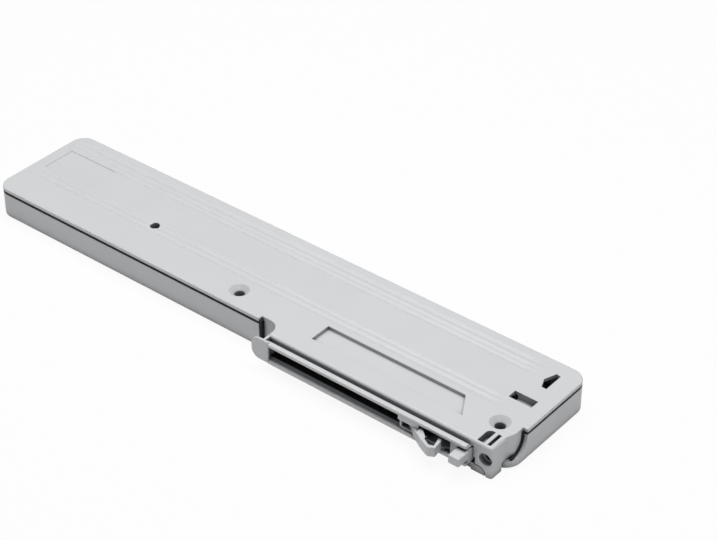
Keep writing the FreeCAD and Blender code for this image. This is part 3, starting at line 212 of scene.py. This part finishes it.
def moulded_plastic(name, colour, roughness, grain=0.22, flow=0.02):
    """Injection-moulded plastic: fine spark-eroded grain, faint flow tint, soft edges, and painted shade
    that darkens the colour in corners and recesses.
    """
    material, tree, shader = new_material(name)
    place = object_place(tree)
    clouds = add_noise(tree, place, scale=38.0, detail=3.0, roughness=0.55)
    dull = [channel * (1.0 - flow) for channel in colour]
    bright = [min(1.0, channel * (1.0 + flow * 0.4)) for channel in colour]
    tint = add_tint(tree, clouds, dull, bright, start=0.3, end=0.7)
    # Painted shade: ambient occlusion darkens the base colour where walls stand close, in corners, slots
    # and recesses.
    painted_shade_probe = add_node(tree, "ShaderNodeAmbientOcclusion", samples=8, Distance=PAINTED_SHADE_REACH)
    painted_shade = spread(tree, painted_shade_probe.outputs["AO"], PAINTED_SHADE_LOWEST, 1.0, start=PAINTED_SHADE_SHUT, end=PAINTED_SHADE_OPEN)
    painted_shade_colour = add_node(tree, "ShaderNodeVectorMath", operation="SCALE")
    tree.links.new(tint, painted_shade_colour.inputs[0])
    tree.links.new(painted_shade, painted_shade_colour.inputs["Scale"])
    tree.links.new(painted_shade_colour.outputs["Vector"], shader.inputs["Base Color"])
    spark = add_noise(tree, place, scale=5200.0, detail=2.0, roughness=0.6)
    sheen = spread(tree, spark, roughness - 0.05, roughness + 0.07)
    tree.links.new(sheen, shader.inputs["Roughness"])
    rounded = add_node(tree, "ShaderNodeBevel", samples=6, Radius=MOULDED_EDGE)
    add_relief(tree, shader, spark, grain, GRAIN_HEIGHT, under=rounded.outputs["Normal"])
    shader.inputs["IOR"].default_value = PLASTIC_IOR
    return material


def drawn_metal(name, colour, roughness, cells):
    """Metal with fine draw lines and a slightly uneven shine. It has few cells in a metre along the draw
    and many across it, given for x, y and z."""
    material, tree, shader = new_material(name)
    shader.inputs["Metallic"].default_value = 1.0
    stretch = add_node(tree, "ShaderNodeMapping", Scale=cells)
    tree.links.new(object_place(tree), stretch.inputs["Vector"])
    lines = add_noise(tree, stretch.outputs["Vector"], scale=1.0, detail=4.0, roughness=0.6)
    dull = [channel * 0.86 for channel in colour]
    tint = add_tint(tree, lines, dull, colour, start=0.25, end=0.75)
    tree.links.new(tint, shader.inputs["Base Color"])
    shine = spread(tree, lines, roughness - 0.06, roughness + 0.1)
    tree.links.new(shine, shader.inputs["Roughness"])
    add_relief(tree, shader, lines, 0.25, DRAW_LINE_HEIGHT)
    return material


def black_rubber(name):
    """Seal rubber: near black, dusty, with a faint pebble."""
    material, tree, shader = new_material(name)
    pebble = add_node(tree, "ShaderNodeTexVoronoi", Scale=2600.0)
    tree.links.new(object_place(tree), pebble.inputs["Vector"])
    tint = add_tint(tree, pebble.outputs["Distance"], RUBBER_BLACK, RUBBER_DUST)
    tree.links.new(tint, shader.inputs["Base Color"])
    shader.inputs["Roughness"].default_value = 0.62
    shader.inputs["Specular IOR Level"].default_value = 0.3
    add_relief(tree, shader, pebble.outputs["Distance"], 0.2, PEBBLE_HEIGHT)
    return material


def add_table():
    """White table that the camera sees almost as plain white, with the part's soft shadow on it."""
    bpy.ops.mesh.primitive_plane_add(size=TABLE_SIZE, location=(0.0, 0.0, TABLE_TOP))
    table = bpy.context.object
    table.name = "table"
    material, tree, shader = new_material("table_white")
    shader.inputs["Base Color"].default_value = TABLE_COLOUR
    shader.inputs["Roughness"].default_value = TABLE_ROUGHNESS
    glow = add_node(tree, "ShaderNodeEmission", Color=WHITE, Strength=1.0)
    rays = add_node(tree, "ShaderNodeLightPath")
    share = add_node(tree, "ShaderNodeMath", operation="MULTIPLY")
    share.inputs[1].default_value = TABLE_GLOW
    mix = add_node(tree, "ShaderNodeMixShader")
    tree.links.new(rays.outputs["Is Camera Ray"], share.inputs[0])
    tree.links.new(share.outputs["Value"], mix.inputs["Fac"])
    tree.links.new(shader.outputs["BSDF"], mix.inputs[1])
    tree.links.new(glow.outputs["Emission"], mix.inputs[2])
    tree.links.new(mix.outputs["Shader"], tree.nodes["Material Output"].inputs["Surface"])
    table.data.materials.append(material)


def add_lamps():
    """Wide soft light overhead and a weak fill in front."""
    for name, place, size, power in LAMPS:
        bpy.ops.object.light_add(type="AREA", location=place)
        lamp = bpy.context.object
        lamp.name = name
        lamp.data.shape = "RECTANGLE"
        lamp.data.size, lamp.data.size_y = size
        lamp.data.energy = power
        direction = LAMP_TARGET - Vector(place)
        lamp.rotation_euler = direction.to_track_quat("-Z", "Y").to_euler()


def fill_air():
    """Air that lights the part weakly from all sides and is plain white to the camera."""
    world = bpy.data.worlds.new("studio_air")
    world.use_nodes = True
    tree = world.node_tree
    air = tree.nodes["Background"]
    air.inputs["Color"].default_value = WHITE
    rays = add_node(tree, "ShaderNodeLightPath")
    strength = spread(tree, rays.outputs["Is Camera Ray"], AIR_LIGHT, 1.0)
    tree.links.new(strength, air.inputs["Strength"])
    bpy.context.scene.world = world


def wind_spring(side, finish):
    """Smooth coil of round wire in the place of the plain one."""
    low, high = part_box(f"{side}_spring")
    middle = (low + high) / 2
    pitch = (high.x - low.x - 2 * SPRING_WIRE) / SPRING_TURNS
    bpy.ops.mesh.primitive_circle_add(vertices=WIRE_CORNERS, radius=SPRING_WIRE, fill_type="NOTHING",
                                      location=(0.0, 0.0, SPRING_RADIUS), rotation=(math.pi / 2, 0.0, 0.0))
    coil = bpy.context.object
    coil.name = f"{side}_spring_coil"
    bpy.ops.object.transform_apply(location=True, rotation=True, scale=True)
    winding = coil.modifiers.new("winding", "SCREW")
    winding.axis = "X"
    winding.steps = winding.render_steps = TURN_CORNERS
    winding.iterations = SPRING_TURNS
    winding.screw_offset = pitch
    winding.use_merge_vertices = False
    bpy.ops.object.modifier_apply(modifier="winding")
    bpy.ops.object.mode_set(mode="EDIT")
    bpy.ops.mesh.select_all(action="SELECT")
    bpy.ops.mesh.fill_holes(sides=WIRE_CORNERS)
    bpy.ops.mesh.normals_make_consistent(inside=False)
    bpy.ops.object.mode_set(mode="OBJECT")
    reach = [vertex.co.x for vertex in coil.data.vertices]
    coil.location = (low.x - min(reach), middle.y, middle.z)
    bpy.ops.object.transform_apply(location=True, rotation=True, scale=True)
    bpy.ops.object.shade_smooth_by_angle(angle=WIRE_SMOOTHING)
    coil.data.materials.append(finish)
    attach(coil, "housing")
    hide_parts(f"{side}_spring")
    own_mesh(coil)


def bend_leaf_spring(finish):
    """Bent strip that presses the claw out, with its foot on the carriage and its tip on the claw."""
    low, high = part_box("claw_spring")
    foot = Vector((low.x, high.y - LEAF_INSET, (low.z + high.z) / 2))
    bend = foot + Vector((LEAF_FOOT, 0.0, 0.0))
    tip = Vector((high.x - LEAF_INSET, low.y + LEAF_TIP_LIFT, foot.z))
    bpy.ops.mesh.primitive_plane_add(size=1.0, location=(foot + bend) / 2, rotation=(math.pi / 2, 0.0, 0.0))
    leaf = bpy.context.object
    leaf.name = "claw_leaf"
    leaf.scale = (bend.x - foot.x, high.z - low.z, 1.0)
    bpy.ops.object.transform_apply(location=True, rotation=True, scale=True)
    for vertex in leaf.data.vertices:
        vertex.select = vertex.co.x > foot.x + LEAF_FOOT / 2
    for edge in leaf.data.edges:
        edge.select = all(leaf.data.vertices[number].select for number in edge.vertices)
    for face in leaf.data.polygons:
        face.select = False
    bpy.ops.object.mode_set(mode="EDIT")
    bpy.ops.mesh.select_mode(type="EDGE")
    arm = (tip - bend) / LEAF_STEPS
    for step in range(LEAF_STEPS):
        bpy.ops.mesh.extrude_region_move(TRANSFORM_OT_translate={"value": arm})
    bpy.ops.mesh.select_mode(type="VERT")
    bpy.ops.mesh.select_all(action="SELECT")
    bpy.ops.mesh.normals_make_consistent(inside=False)
    bpy.ops.object.mode_set(mode="OBJECT")
    plate = leaf.modifiers.new("plate", "SOLIDIFY")
    plate.thickness = LEAF_THICKNESS
    plate.offset = 0.0
    plate.use_even_offset = True
    bpy.ops.object.modifier_apply(modifier="plate")
    rounded = leaf.modifiers.new("rounded", "BEVEL")
    rounded.width = LEAF_ROUNDING
    rounded.segments = 2
    bpy.ops.object.modifier_apply(modifier="rounded")
    bpy.ops.object.shade_smooth_by_angle(angle=LEAF_SMOOTHING)
    leaf.data.materials.append(finish)
    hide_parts("claw_spring")
    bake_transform(leaf)


def dress_part():
    """Gives each carried-over piece its finish, and puts the springs' own meshes in place."""
    shell = moulded_plastic("shell_plastic", SHELL_GREY, 0.42)
    mechanism = moulded_plastic("mechanism_plastic", MECHANISM_GREY, 0.34, grain=0.12)
    black = moulded_plastic("black_plastic", INNER_BLACK, 0.38, flow=0.2)
    steel = drawn_metal("pin_steel", PIN_STEEL, 0.24, cells=(900.0, 900.0, 120.0))
    rod = drawn_metal("rod_steel", ROD_STEEL, 0.16, cells=(60.0, 1400.0, 1400.0))
    wire = drawn_metal("spring_wire", WIRE_STEEL, 0.3, cells=(700.0, 700.0, 700.0))
    tube = drawn_metal("tube_aluminium", TUBE_ALUMINIUM, 0.3, cells=(40.0, 1500.0, 1500.0))
    rubber = black_rubber("seal_rubber")
    finishes = {
        # The seam_gasket's black rubber is a dark strip put into the seam between lid and tray, standing in
        # for the shade in that gap.
        # The slide_strip's black is painted shade inside the rail's channel.
        "tray": shell, "lid": shell, "seam_gasket": rubber, "guide_rail": shell, "slide_strip": black,
        "carriage": mechanism, "claw": mechanism, "draw_bar": mechanism, "piston": mechanism,
        "claw_pin": steel, "coupling_pin": steel, "claw_spring": wire, "piston_rod": rod,
        "front_spring": wire, "back_spring": wire, "damper_tube": tube,
        "damper_end_plug": black, "damper_gland": black, "rod_clip": black,
        "front_spring_fixed_eye": black, "back_spring_fixed_eye": black,
        "front_spring_moving_eye": black, "back_spring_moving_eye": black,
        "rod_seal": rubber, "piston_seal": rubber,
    }
    for name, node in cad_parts.items():
        node.data.materials.clear()
        node.data.materials.append(finishes[name])
    for side in ("front", "back"):
        wind_spring(side, wire)
    bend_leaf_spring(wire)


add_camera()
add_table()
add_lamps()
fill_air()
dress_part()
bpy.context.scene.view_settings.view_transform = "Standard"
